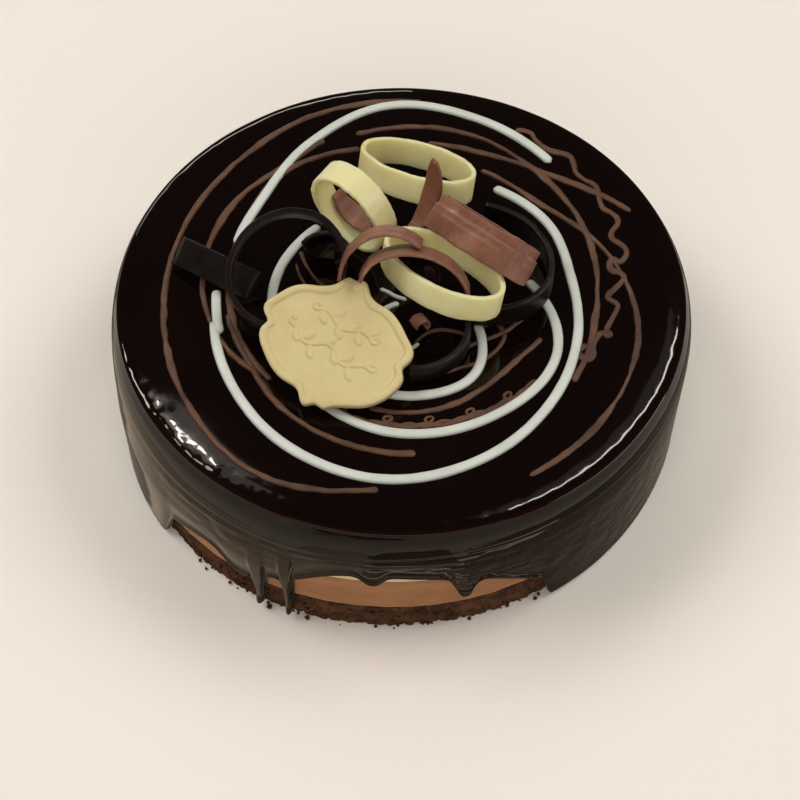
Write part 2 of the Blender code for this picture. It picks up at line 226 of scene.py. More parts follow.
def crumbSponge():
    f = Finish("cocoa sponge", {"Specular IOR Level": 0.2})
    pores = f.step(f.cells(620.0), 0.40, 0.12)
    holes = f.step(f.cells(230.0), 0.24, 0.08)
    patch = f.noise(150.0, 5.0, 0.7)
    colour = f.mix(f.step(patch, 0.25, 0.75), (0.030, 0.011, 0.004), (0.130, 0.054, 0.020))
    # pores and holes are painted nearly black: painted shade in the hollows of the crumb
    colour = f.mix((pores * 0.55 + holes * 0.6).clip(), colour, (0.022, 0.009, 0.005))
    height = patch - pores * 0.45 - holes * 0.7
    return f.feed(colour=colour, roughness=0.85 + patch * 0.12,
                  normal=f.bump(height, 1.0 * mm, 0.9))


def mousse(name, deep, plain, poreShade):
    f = Finish(name, {"Specular IOR Level": 0.3})
    patch = f.noise(40.0, 4.0, 0.6, (1.0, 1.0, 3.0))
    speck = f.noise(500.0, 2.0)
    pores = f.step(f.cells(330.0), 0.13, 0.06)
    colour = f.mix(f.step(patch, 0.3, 0.7), deep, plain)
    # pores take a darker colour: painted shade inside the small hollows
    colour = f.mix(pores * 0.8, colour, poreShade)
    height = patch + speck * 0.2 - pores * 0.8
    return f.feed(colour=colour, roughness=0.55 + speck * 0.15,
                  normal=f.bump(height, 0.6 * mm, 0.6))


def paleFloor(colour):
    f = Finish("pale table", {"Roughness": 0.8, "Specular IOR Level": 0.1})
    soft = f.noise(6.0, 2.0)
    return f.feed(colour=f.mix(soft, colour, tuple(c * 0.995 for c in colour)))


finishes = {
    "glaze": mirrorGlaze(),
    "sponge": crumbSponge(),
    # the last colour of each mousse is the painted shade in its pores
    "milkMousse": mousse("milk mousse", (0.330, 0.142, 0.056), (0.415, 0.192, 0.080),
                         (0.26, 0.11, 0.045)),
    "whiteMousse": mousse("white mousse", (0.66, 0.50, 0.26), (0.74, 0.59, 0.33),
                          (0.46, 0.31, 0.15)),
    "whitePiping": piping("white piping", (0.58, 0.59, 0.50), (0.66, 0.67, 0.575),
                          rough=0.34, pit=0.10),
    "brownPiping": piping("brown piping", (0.052, 0.022, 0.010), (0.118, 0.052, 0.024),
                          rough=0.50, pit=0.35),
    "ivory": chocolate("white chocolate", (0.80, 0.645, 0.295), (0.89, 0.76, 0.395),
                       (0.86, 0.79, 0.48), rough=0.38, bloom=0.30, glow=0.85),
    "ivoryPlaque": chocolate("white chocolate plaque", (0.60, 0.47, 0.215), (0.66, 0.53, 0.25),
                             (0.72, 0.60, 0.31), rough=0.42, bloom=0.20, streak=60.0),
    "milk": chocolate("milk chocolate", (0.165, 0.061, 0.032), (0.250, 0.100, 0.055),
                      (0.38, 0.19, 0.12), rough=0.36, bloom=0.60),
    "dark": chocolate("dark chocolate", (0.0060, 0.0030, 0.0024), (0.0115, 0.0058, 0.0044),
                      (0.030, 0.019, 0.015), rough=0.34, bloom=0.25, shine=0.24),
}
print("finishes ready:", len(finishes))


# mesh helpers

def polar(angle, radius, z):
    a = math.radians(angle)
    return Vector((radius * math.cos(a), radius * math.sin(a), z))


def clamp(t):
    return max(0.0, min(1.0, t))


def ease(t):
    t = clamp(t)
    return t * t * (3 - 2 * t)


def bell(x, halfWidth):
    return math.exp(-(x / halfWidth) ** 2)


def makePiece(name, verts, faces, finish, nodes):
    mesh = bpy.data.meshes.new(name)
    mesh.from_pydata([v + middle for v in verts], [], faces)
    mesh.validate()
    bm = bmesh.new()
    bm.from_mesh(mesh)
    bmesh.ops.recalc_face_normals(bm, faces=bm.faces)
    bm.to_mesh(mesh)
    bm.free()
    mesh.materials.append(finish)
    for face in mesh.polygons:
        face.use_smooth = True
    obj = bpy.data.objects.new(name, mesh)
    bpy.context.scene.collection.objects.link(obj)
    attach(obj, "root")
    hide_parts(*nodes)


def ringFaces(rows, count, start=0, loop=False):
    faces = []
    for r in range(rows if loop else rows - 1):
        for i in range(count):
            j = (i + 1) % count
            a = start + r * count
            b = start + (r + 1) % rows * count
            faces.append((a + i, a + j, b + j, b + i))
    return faces


def tubeFaces(rows, count, start=0):
    # the rings joined row by row, and a face over each end
    ends = [tuple(start + row * count + k for k in range(count)) for row in (0, rows - 1)]
    return ringFaces(rows, count, start) + ends


def stretched(point, share):
    return (point.x, point.y, point.z * share)


def wobble(point, scale, seed=0.0):
    return noise.noise(Vector(point) / scale + Vector((seed, seed * 1.7, -seed)))


# cake body

cake = {
    "height": 61.5 * mm, "glazeRadius": 102.0 * mm, "layerRadius": 99.0 * mm, "gap": 0.3 * mm,
    "glazeWall": 2.6 * mm, "glazeLip": 2.1 * mm, "glazeFoot": 1.4 * mm, "roofCorner": 2.6 * mm,
    "spongeTop": 13.0 * mm, "milkTop": 31.0 * mm,
    # the lower half stands out a little on the front left: how far, up to which height, and the
    # middle and half width of that side in degrees
    "lean": 3.2 * mm, "leanTop": 58.0 * mm, "leanAt": 226.0, "leanReach": 40.0,
}

# open front: heights in mm at even steps between its ends, drips as (angle, length, half width);
# drips above one length end in a bulb, those above another narrow over it
openFront = {
    "ends": (216.0, 301.0), "corners": (5.5, 3.0), "easing": 4.0,
    "heights": (15.6, 25.2, 23.6, 36.7, 36.1, 28.4, 11.2),
    "drips": ((238.0, 6.6, 4.0), (242.2, 18.5, 1.4), (248.2, 24.0, 1.15), (264.7, 5.5, 2.4),
              (282.0, 10.9, 2.4)),
    "bulbDrip": 10.0, "longDrip": 15.0, "longSharpness": 4.0, "sharpness": 2.6,
}

# rim from the side up to the flat top, in mm: a steep shoulder, a narrow edge, a long soft slope
rim = {
    "inset": (0.0, 0.35, 1.2, 2.6, 3.3, 5.2, 8.5, 13.5),
    "drop": (14.0, 9.5, 5.2, 2.2, 1.2, 0.6, 0.22, 0.0),
}


def evenSteps(values, share):
    # smooth curve through values at even steps
    spot = min(int(share * (len(values) - 1)), len(values) - 2)
    t = share * (len(values) - 1) - spot
    ends = [2 * values[0] - values[1], *values, 2 * values[-1] - values[-2]]
    a, b, c, d = ends[spot:spot + 4]
    return 0.5 * (2 * b + (c - a) * t + (2 * a - 5 * b + 4 * c - d) * t * t
                  + (3 * b - a - 3 * c + d) * t ** 3)


def edgeHeight(angle, dripping=True):
    first, last = openFront["ends"]
    if angle <= first or angle >= last:
        return cake["glazeFoot"]
    height = evenSteps(openFront["heights"], (angle - first) / (last - first))
    for at, length, half in openFront["drips"] if dripping else ():
        sharp = openFront["longSharpness" if length > openFront["longDrip"] else "sharpness"]
        height -= length * math.exp(-abs((angle - at) / half) ** sharp)
    left, right = openFront["corners"]
    share = ease((angle - first) / left) * ease((last - angle) / right)
    return cake["glazeFoot"] + max(0.0, height * mm - cake["glazeFoot"]) * share


def spread(angle, z):
    share = clamp((cake["leanTop"] - z) / (cake["leanTop"] - cake["milkTop"]))
    return cake["lean"] * bell(angle - cake["leanAt"], cake["leanReach"]) * share


def bulge(angle):
    a = math.radians(angle)
    return glazeLook["bulge"] * (math.sin(3 * a + 0.6) + 0.6 * math.sin(7 * a + 2.0))


# a lift is a height above the lower edge of the coat, and a reach how far a form spreads in height
glazeLook = {
    "thinner": 0.12 * mm, "bulge": 0.35 * mm, "sideBulge": 0.6, "wave": 0.055 * mm,
    "waveReach": 6.0 * mm, "frontReach": 20.0 * mm,
    "bead": 0.45 * mm, "beadLift": 1.3 * mm, "beadReach": 1.2 * mm,
    "hollow": 0.25 * mm, "hollowLift": 5.0 * mm, "hollowReach": 3.0 * mm,
    "undercut": 1.1 * mm, "undercutReach": 1.3 * mm,
    "bulb": 0.75 * mm, "bulbLift": 2.0 * mm, "bulbReach": 2.2 * mm,
    "neck": 0.34, "neckLift": 3.0 * mm, "neckReach": 3.0 * mm, "neckFade": 7.0 * mm,
    "foldReach": 0.8 * mm, "foldLip": 0.7, "foldLipLift": 1.6 * mm, "foldLipReach": 1.3 * mm,
    # ripples: depth, then the middle and half width in degrees and in height
    "ripple": 0.30 * mm, "rippleAt": (293, 14), "rippleLevel": (31.0 * mm, 13.0 * mm),
    # low waves and dents of the top; the dents by the rim are deeper on the left
    "topWave": 0.10 * mm, "dent": 0.065 * mm, "leftDent": 0.12 * mm, "leftDentAt": (205, 28),
    "dentInset": 5.5 * mm, "dentReach": 4.0 * mm,
    # steps round the cake in degrees, closer over the open front, and rows of the coat
    "coarse": 0.75, "fine": 0.25, "fineZone": (214.5, 302.5),
    "wallRows": 26, "wallCrowding": 1.15, "rimRows": 66, "topRows": 28,
    # the rounded lower lip: inset and lift of each row in mm
    "lip": ((1.3, 0.12), (0.9, -0.02), (0.5, 0.10), (0.22, 0.45), (0.05, 1.0)),
    "lipTop": 1.0 * mm, "innerLifts": (2.6, 1.4, 0.6), "innerShoulder": 4.0 * mm,
}
# long low folds round the side: height and swing in mm, phase, depth in mm
sideFolds = ((48.5, 1.5, 0.4, 0.20), (42.0, 2.2, 2.1, 0.22), (34.5, 2.0, 4.2, 0.14))


def glazeSide(angle, z, inset=0.0, bulging=glazeLook["sideBulge"]):
    # a point on the outer face of the coat
    look = glazeLook
    outer = cake["glazeRadius"]
    first, last = openFront["ends"]
    openShare = ease((angle - first) / openFront["easing"])
    openShare *= ease((last - angle) / openFront["easing"])
    edge = edgeHeight(angle)
    beside = 0.12
    rise = edgeHeight(angle + beside) - edgeHeight(angle - beside)
    slope = rise / (math.radians(2 * beside) * outer)
    toEdge = (z - edge) / math.sqrt(1 + slope * slope)
    p = polar(angle, outer, z)
    fade = clamp((z - edge) / look["waveReach"])
    nearEdge = 1 - clamp((z - edge) / look["frontReach"])
    r = outer - (outer - cake["layerRadius"] - cake["glazeLip"]) * openShare * nearEdge
    bead = look["bead"] * (0.3 + 0.7 * openShare)
    r += bead * bell(z - edge - look["beadLift"], look["beadReach"])
    r -= look["hollow"] * openShare * bell(z - edge - look["hollowLift"], look["hollowReach"])
    below = ease(0.5 + (edgeHeight(angle, False) - z) / (3 * mm))
    rounding = max(0.0, 1 - toEdge / look["undercutReach"]) ** 2
    r -= look["undercut"] * openShare * below * rounding
    for height, swing, phase, depth in sideFolds:
        level = (height + swing * math.sin(math.radians(2.6 * angle) + phase)) * mm
        share = max(0.0, 0.55 + 0.9 * wobble(polar(angle, 60 * mm, 0), 26 * mm, height))
        fold = depth * mm * share * fade
        r -= fold * bell(z - level, look["foldReach"])
        lip = bell(z - level - look["foldLipLift"], look["foldLipReach"])
        r += look["foldLip"] * fold * lip
    at, half = look["rippleAt"]
    level, reach = look["rippleLevel"]
    ripple = look["ripple"] * fade * bell(angle - at, half) * bell(z - level, reach)
    r += ripple * wobble(stretched(p, 2.2), 8 * mm, 14)
    for at, length, half in openFront["drips"]:
        if length > openFront["bulbDrip"]:
            tip = edgeHeight(at)
            across = bell(angle - at, 0.75 * half)
            r += look["bulb"] * across * bell(z - tip - look["bulbLift"], look["bulbReach"])
            if length > openFront["longDrip"]:
                neck = ease((z - tip - look["neckLift"]) / look["neckReach"])
                neck *= ease((length * mm - z + tip) / look["neckFade"])
                angle += (at - angle) * look["neck"] * neck * bell(angle - at, 2.2 * half)
    wave = wobble(stretched(p, 1.5), 17 * mm) + 0.4 * wobble(stretched(p, 1.8), 8 * mm, 3)
    r += look["wave"] * wave * fade - look["thinner"] + bulging * bulge(angle) - inset
    return polar(angle, r + spread(angle, z), z)


def glazeRim(angle, inset, drop, dome):
    # a point on the rim, inset and drop below the flat top, with dents where it domes
    look = glazeLook
    p = glazeSide(angle, cake["height"] - drop, inset,
                  look["sideBulge"] * min(1.0, drop / (8 * mm)))
    dents = wobble(p, 7 * mm, 5) + 0.5 * wobble(p, 3.4 * mm, 8)
    at, half = look["leftDentAt"]
    left = look["leftDent"] * bell((angle - at + 180) % 360 - 180, half)
    p.z += (look["dent"] + left) * dome * dents
    return p


def glazeTop(angle, radius, fade):
    p = polar(angle, radius, cake["height"])
    rise = glazeLook["topWave"] * (wobble(p, 30 * mm, 2) + 0.4 * wobble(p, 11 * mm, 4))
    return polar(angle, radius, cake["height"] + rise * fade)


def buildGlaze():
    look = glazeLook
    angles = []
    a = 0.0
    while a < 359.99:
        angles.append(a)
        a += look["fine"] if look["fineZone"][0] <= a < look["fineZone"][1] else look["coarse"]
    inner = cake["layerRadius"] + 1.4 * cake["gap"]
    roof = cake["height"] - cake["glazeWall"]
    corner = cake["roofCorner"]
    lipTop = look["lipTop"]
    rows = []

    def add(point):
        rows.append([point(angle) for angle in angles])

    def addInner(height):
        add(lambda a: polar(a, inner + spread(a, height(a)), height(a)))

    add(lambda a: polar(a, 2.0 * mm, roof))
    add(lambda a: polar(a, inner - corner, roof))
    addInner(lambda a: roof - corner)
    addInner(lambda a: max(cake["milkTop"], edgeHeight(a) + look["innerShoulder"]))
    for lift in look["innerLifts"]:
        addInner(lambda a: edgeHeight(a) + lift * mm)
    for inset, lift in look["lip"]:
        add(lambda a: glazeSide(a, edgeHeight(a) + lift * mm, inset * mm))
    shoulder = cake["height"] - rim["drop"][0] * mm
    for k in range(1, look["wallRows"] + 1):
        t = (k / look["wallRows"]) ** look["wallCrowding"]
        add(lambda a: glazeSide(a, (edgeHeight(a) + lipTop) * (1 - t) + shoulder * t))
    for k in range(1, look["rimRows"] + 1):
        inset = evenSteps(rim["inset"], k / look["rimRows"]) * mm
        drop = evenSteps(rim["drop"], k / look["rimRows"]) * mm
        dome = bell(inset - look["dentInset"], look["dentReach"]) if k < look["rimRows"] else 0.0
        add(lambda a: glazeRim(a, inset, drop, dome))
    flat = cake["glazeRadius"] - rim["inset"][-1] * mm
    for k in range(1, look["topRows"] + 1):
        radius = flat * (1 - k / (look["topRows"] + 1))
        fade = min(1.0, (flat - radius) / (8 * mm))
        add(lambda a: glazeTop(a, radius, fade))
    verts = [point for row in rows for point in row]
    makePiece("glaze_coat", verts, tubeFaces(len(rows), len(angles)), finishes["glaze"],
              ["mirror_glaze"])


spongeLook = {
    "columns": 1080, "rows": 30, "inset": 0.35 * mm, "rough": 0.341 * mm, "pit": 0.48 * mm,
    "pitSize": 1.5 * mm, "pitShare": 0.30, "edge": 0.7 * mm,
    # a few crumbs along the foot of the open front; sizes and reaches in mm
    "crumbs": 80, "crumbSeed": 11, "crumbZone": (219, 299), "crumbSize": (0.35, 0.85),
    "bigShare": 0.12, "bigger": 1.5, "reach": (-0.8, 0.2), "fallenReach": (0.2, 1.6),
    "fallenBelow": 2.0 * mm, "fallenShare": 0.3, "highest": 9.0 * mm,
}


def buildSponge():
    look = spongeLook
    columns, rows = look["columns"], look["rows"]
    verts = []
    for r in range(rows):
        z = cake["spongeTop"] * r / (rows - 1)
        for i in range(columns):
            angle = 360 * i / columns
            p = polar(angle, cake["layerRadius"], z)
            rough = 1.1 * wobble(p, 5.5 * mm, 1) + wobble(p, 2.2 * mm, 2)
            rough += 0.7 * wobble(p, 1.0 * mm, 3)
            pit = max(0.0, look["pitShare"] - noise.cell(Vector(p) / look["pitSize"]))
            inset = look["inset"] + look["rough"] * (0.9 - rough) + look["pit"] * pit
            if r in (0, rows - 1):
                inset += look["edge"]
            verts.append(polar(angle, cake["layerRadius"] + spread(angle, z) - inset, z))
    faces = tubeFaces(rows, columns)
    rng = random.Random(look["crumbSeed"])
    for n in range(look["crumbs"]):
        angle = rng.uniform(*look["crumbZone"])
        size = rng.uniform(*look["crumbSize"]) * mm
        size *= look["bigger"] if rng.random() < look["bigShare"] else 1.0
        z = size * 0.8 + rng.random() ** 2 * look["highest"]
        reach = rng.uniform(*look["reach"]) * mm
        if z < look["fallenBelow"] and rng.random() < look["fallenShare"]:
            reach = rng.uniform(*look["fallenReach"]) * mm
            z = size * 0.75
        centre = polar(angle, cake["layerRadius"] + spread(angle, z) + reach, z)
        addCrumb(verts, faces, centre, size, rng.uniform(0, 90))
    makePiece("sponge_layer", verts, faces, finishes["sponge"], ["sponge_base"])


def addCrumb(verts, faces, centre, size, seed):
    bm = bmesh.new()
    bmesh.ops.create_icosphere(bm, subdivisions=2, radius=1.0)
    start = len(verts)
    lowest = 0.02 * mm
    for v in bm.verts:
        bend = 0.75 + 0.55 * noise.noise(v.co * 1.6 + Vector((seed, 0, seed)))
        spot = centre + v.co * size * bend
        verts.append(Vector((spot.x, spot.y, max(spot.z, lowest))))
    bm.verts.index_update()
    for face in bm.faces:
        faces.append(tuple(start + v.index for v in face.verts))
    bm.free()


mousseLook = {"columns": 900, "rows": 14, "inset": 0.20 * mm, "wave": 0.30 * mm,
              "grain": 0.10 * mm, "edge": 0.8 * mm, "edgeWave": 0.35 * mm}


def buildMilkMousse():
    look = mousseLook
    columns, rows = look["columns"], look["rows"]
    base, top = cake["spongeTop"] + cake["gap"], cake["milkTop"]
    verts = []
    for r in range(rows):
        level = base + (top - base) * r / (rows - 1)
        for i in range(columns):
            angle = 360 * i / columns
            z = level
            p = polar(angle, cake["layerRadius"], z)
            inset = look["inset"] + look["wave"] * wobble(stretched(p, 2), 9 * mm, 6)
            inset += look["grain"] * wobble(p, 2.5 * mm, 7)
            if r in (0, rows - 1):
                inset += look["edge"]
            elif r == 1:
                z += look["edgeWave"] * wobble(p, 6 * mm, 9)
            verts.append(polar(angle, cake["layerRadius"] + spread(angle, z) - inset, z))
    makePiece("milk_layer", verts, tubeFaces(rows, columns), finishes["milkMousse"],
              ["milk_mousse"])


buildGlaze()
buildSponge()
buildMilkMousse()
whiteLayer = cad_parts["white_mousse"]
for materialSlot in whiteLayer.material_slots:
    materialSlot.material = finishes["whiteMousse"]
print("cake body done")


# piped lines: first and last angle, radius in mm at even steps, and for some a wave and a share of
# the width; a wave is its height in mm, the number of waves, where the first one starts, and its
# backward swing in mm, which turns the waves into loops
# free lines follow listed points: share of the width, and points from the cake's axis in mm

whiteLines = {
    "width": 3.4 * mm, "height": 1.35 * mm, "root": 0.7 * mm, "uneven": 0.07, "round": 0.55,
    "paths": [
        (47, 161.5, (80.6, 85.7, 87.9, 76.7, 65.5, 61.4)),
        (181, 198, (64.0, 65.0)),
        (193, 414, (65.8, 70.5, 76.1, 79.0, 75.5, 69.5, 63.8, 59.4, 60.0, 57.1)),
        (4, -224, (44.1, 59.9, 62.1, 60.7, 53.6, 47.1, 43.2, 40.3)),
        (-31, -108, (30.2, 44.6, 46.4, 44.1)),
    ],
    "free": [
        (0.40, ((-7.5, -0.5), (-4.4, -2.2), (-1.8, -4.0), (2.4, -5.6))),
        (0.60, ((-12.0, -15.5), (-8.6, -12.0), (-5.6, -9.5), (-3.0, -7.9), (-0.5, -6.9))),
        (0.40, ((1.5, -28.6), (3.8, -26.4), (5.1, -25.2), (6.3, -24.2))),
    ],
}
brownLines = {
    "width": 2.15 * mm, "height": 0.85 * mm, "root": 0.6 * mm, "uneven": 0.55, "round": 0.7,
    "paths": [
        (85, 265, (90.3, 89.1, 84.3, 82.2, 82.5, 86.0, 89.6, 83.0)),
        (103, -35, (75.0, 77.5, 73.6, 70.4, 67.9, 70.1)),
        (82, 23, (69.1, 70.6, 76.4, 89.6)),
        (62, -62, (62.2, 63.4, 74.2, 82.9, 86.2, 87.7)),
        (-24.7, -102, (52.5, 50.1, 50.3, 51.5, 52.8, 52.9, 51.8)),
        (-39, -108, (60.8, 59.9, 59.2, 58.6, 57.8, 57.2), (0.6, 6.0, 0.0, 0.0), 0.75),
        (-41, -107, (60.2, 59.4, 58.6, 58.0, 57.2), (0.7, 6.0, 3.3, 0.0), 0.65),
        (-44, -109, (59.2, 58.4, 57.4, 56.4, 55.2), (1.9, 4.6, 1.0, 4.3), 0.55),
        (-86, -169, (69.2, 67.3, 64.4, 60.5, 60.7)),
        (112, 218, (75.5, 71.3, 71.8, 71.2, 69.9, 68.0, 65.0, 60.6)),
        (103, 222, (67.5, 69.0, 63.6, 60.3, 59.3, 58.8)),
    ],
    "free": [
        (1.0, ((42.4, 75.3), (45.8, 74.7), (48.6, 73.3), (49.9, 70.2), (52.3, 66.7), (55.7, 64.7),
         (59.6, 63.2), (62.3, 61.6), (63.5, 57.8), (64.1, 53.6), (66.7, 50.2), (70.0, 47.9),
         (71.2, 44.9), (72.2, 37.0), (75.2, 34.6), (77.2, 32.0), (77.2, 28.8), (75.1, 25.2),
         (74.9, 22.1), (77.1, 20.0), (79.3, 17.5), (79.2, 14.4), (76.8, 11.4), (74.6, 12.7),
         (73.0, 10.4), (73.8, 7.7), (76.5, 6.7), (77.9, 4.4), (76.9, 2.4), (74.0, -0.9),
         (71.8, -3.1), (71.9, -5.2), (74.3, -7.0), (74.6, -8.9), (72.3, -13.8), (70.2, -18.6),
         (71.6, -20.3), (69.9, -21.4), (68.3, -19.7), (66.0, -22.8), (64.9, -26.1),
         (64.8, -28.9), (62.8, -31.0), (60.7, -29.7), (59.7, -27.6), (61.7, -25.7), (63.3, -24.2))),
        (0.65, ((3.2, -28.6), (4.9, -24.0), (8.3, -20.3), (13.3, -18.5), (18.3, -19.3),
                (22.4, -20.8))),
        (0.75, ((14.3, -36.8), (20.5, -34.2), (26.3, -32.2), (31.8, -27.6), (35.0, -21.9),
                (34.2, -17.7), (32.6, -15.1), (29.2, -16.1), (27.1, -17.2))),
        (0.75, ((19.0, -27.1), (24.8, -24.5), (30.7, -21.9), (36.6, -18.5), (41.9, -12.9))),
        (0.60, ((-35.7, 16.5), (-33.8, 11.0), (-30.4, 4.7), (-26.1, -0.7))),
        (0.50, ((-36.9, 11.0), (-35.3, 5.1), (-32.4, -0.7))),
    ],
}


pipingLook = {"sides": 14, "step": 0.8 * mm, "freeStep": 0.7 * mm, "parts": 400, "tip": 0.12}
noWave = (0.0, 0.0, 0.0, 0.0)


def linePath(first, last, radii, wave):
    height, waves, phase, swing = wave
    mean = sum(radii) / len(radii) * mm
    count = max(4, round(abs(math.radians(last - first)) * mean / pipingLook["step"]))
    if swing:
        count *= 2
    path = []
    for i in range(count + 1):
        along = i / count
        turn = 2 * math.pi * waves * along + phase
        radius = evenSteps(radii, along) + height * math.sin(turn)
        back = math.degrees(swing * mm / mean) * math.cos(turn)
        path.append(polar(first + (last - first) * along + back, radius * mm, 0.0))
    return path


def freePath(points):
    xs, ys = zip(*points)
    parts = pipingLook["parts"]
    path = []
    for i in range(parts + 1):
        p = Vector((evenSteps(xs, i / parts), evenSteps(ys, i / parts), 0.0)) * mm
        if not path or (p - path[-1]).length >= pipingLook["freeStep"]:
            path.append(p)
    return path


def addLine(verts, faces, path, sizes, seed, share):
    sides, uneven = pipingLook["sides"], sizes["uneven"]
    width = sizes["width"] * share
    start = len(verts)
    lengths = [0.0]
    for a, b in zip(path, path[1:]):
        lengths.append(lengths[-1] + (b - a).length)
    for i, p in enumerate(path):
        along = (path[min(i + 1, len(path) - 1)] - path[max(i - 1, 0)]).normalized()
        across = Vector((-along.y, along.x, 0.0))
        spot = (lengths[i], seed, 0)
        # round ends
        endGap = min(1.0, min(lengths[i], lengths[-1] - lengths[i]) / (width * 0.6))
        cap = max(math.sqrt(1 - (1 - endGap) ** 2), pipingLook["tip"])
        swell = 1 + uneven * (wobble(spot, 14 * mm) + 0.5 * wobble(spot, 4 * mm, 5))
        half = 0.5 * width * swell * cap
        tall = sizes["height"] * (0.4 + 0.6 * share) * cap
        tall *= 1 + 0.6 * uneven * wobble(spot, 9 * mm, 9)
        drift = 0.25 * uneven * width * wobble(spot, 6 * mm, 13)
        # a rounded back, and a root that dips into the coat
        section = []
        for k in range(sides - 2):
            t = math.pi * k / (sides - 3)
            level = math.sin(t) ** sizes["round"] * tall if 0 < t < math.pi else 0.0
            section.append((math.cos(t) * half, level))
        section += [(-0.9 * half, -sizes["root"]), (0.9 * half, -sizes["root"])]
        for x, z in section:
            verts.append(p + across * (x + drift) + Vector((0, 0, cake["height"] + z)))
    faces.extend(tubeFaces(len(path), sides, start))


def buildPiping(name, sizes, finish):
    verts, faces = [], []
    for n, (first, last, radii, *rest) in enumerate(sizes["paths"]):
        wave, share = rest or (noWave, 1.0)
        addLine(verts, faces, linePath(first, last, radii, wave), sizes, 0.1 * n + 0.03, share)
    for n, (share, points) in enumerate(sizes["free"]):
        addLine(verts, faces, freePath(points), sizes, 0.1 * n + 2.03, share)
    makePiece(name, verts, faces, finish, ["mirror_glaze"])


buildPiping("white_piping", whiteLines, finishes["whitePiping"])
buildPiping("brown_piping", brownLines, finishes["brownPiping"])
print("piped lines done")


# chocolate bands: at, size, width and wall in mm, axis as azimuth and elevation, arc in degrees;
# seams are (where along the width, depth) in mm

def axisFrame(azimuth, elevation, turn):
    az, el = math.radians(azimuth), math.radians(elevation)
    n = Vector((math.cos(el) * math.cos(az), math.cos(el) * math.sin(az), math.sin(el)))
    u = Vector((-math.sin(az), math.cos(az), 0.0))
    v = n.cross(u)
    t = math.radians(turn)
    return u * math.cos(t) + v * math.sin(t), v * math.cos(t) - u * math.sin(t), n


def bandSection(width, wall, corner, across):
    # rounded oblong: across the wall (0 is the outer face) and along the width
    half = width / 2 - corner
    points = []
    for cx, cy, first in ((corner, half, 180), (wall - corner, half, 90),
                          (wall - corner, -half, 0), (corner, -half, -90)):
        for k in range(4):
            a = math.radians(first - 30 * k)
            points.append((cx + corner * math.cos(a), cy + corner * math.sin(a)))
        if first in (90, -90):
            for k in range(1, across):
                reach = (half if first == 90 else -half) * (1 - 2 * k / across)
                points.append((wall if first == 90 else 0.0, reach))
    return points


def oval(t, power):
    # a point on a unit circle, or on a squarer round below power 1
    c, s = math.cos(t), math.sin(t)
    return math.copysign(abs(c) ** power, c), math.copysign(abs(s) ** power, s)


# how even the bands are, and their mesh: degrees for each step round, points across the width
bandLook = {
    "step": 2.2, "corner": 0.42, "wave": 0.22 * mm, "grain": 0.10 * mm, "uneven": 0.035,
    "skew": 0.25 * mm, "chip": 0.06 * mm, "brokenEnd": 0.6 * mm, "creases": 46,
    "seamWidth": 0.35, "across": 5, "seamAcross": 26,
}


def buildBand(name, node, finish, slot, at, axis, size, turn, width, wall, arc=None, rough=1.0,
              taper=None, power=1.0, seams=(), folds=0.0, ragged=0.0):
    look = bandLook
    u, v, n = axisFrame(*axis, turn)
    centre = Vector(at) * mm
    closed = arc is None
    start, end = (0.0, 360.0) if closed else arc
    count = max(16, round((end - start) / look["step"])) * (2 if folds else 1)
    section = bandSection(width * mm, wall * mm, min(look["corner"], wall * 0.35) * mm,
                          look["seamAcross" if seams else "across"])
    seed = (sum(ord(c) for c in name) % 97) * 0.37
    verts = []
    rows = count if closed else count + 1
    for i in range(rows):
        share = i / count
        t = math.radians(start + (end - start) * share)
        here = Vector((math.cos(t), math.sin(t), seed)) * 3.0
        out = rough * (look["wave"] * noise.noise(here) + look["grain"] * noise.noise(here * 4))
        tall = 1 + look["uneven"] * rough * noise.noise(here * 1.3 + Vector((5, 5, 5)))
        skew = look["skew"] * rough * noise.noise(here + Vector((9, 0, 2)))
        if taper:
            tall *= evenSteps(taper, share)
        if folds:
            # creases across the band, where it bent as it was shaved
            along = share * look["creases"]
            crease = abs(noise.noise(Vector((along, seed, 0))))
            crease += 0.5 * abs(noise.noise(Vector((along * 2.6, seed, 4))))
            out += folds * mm * (crease - 0.25)
        tall += ragged * (noise.noise(here * 4.5) + 0.6 * noise.noise(here * 11))
        x, y = oval(t, power)
        broken = not closed and i in (0, rows - 1)
        for k, (across, level) in enumerate(section):
            chip = look["chip"] * rough * noise.noise(here * 9 + Vector((k * 0.8, 0, 0)))
            # a second layer shows as a step along the band
            step = sum(depth * mm * ease(0.5 + (level / mm - spot) / look["seamWidth"])
                       for spot, depth in seams)
            depthHere = across - out + chip + step * (1 - across / (wall * mm))
            p = centre + u * (size[0] * mm - depthHere) * x
            p += v * (size[1] * mm - depthHere) * y
            p += n * (level * tall + skew + chip)
            if broken:
                shift = look["brokenEnd"] * noise.noise(Vector((level / mm * 0.5, seed, i)))
                p += (v * math.cos(t) - u * math.sin(t)) * shift
            verts.append(p)
    sides = len(section)
    faces = ringFaces(rows, sides, loop=True) if closed else tubeFaces(rows, sides)
    makePiece(name, verts, faces, finish, [node])


def whiteBand(name, node, **sizes):
    buildBand(name, node, finishes["ivory"], "white_chocolate", **sizes)


def darkBand(name, node, **sizes):
    buildBand(name, node, finishes["dark"], "dark_chocolate", **sizes)


def milkBand(name, node, **sizes):
    buildBand(name, node, finishes["milk"], "milk_chocolate", **sizes)


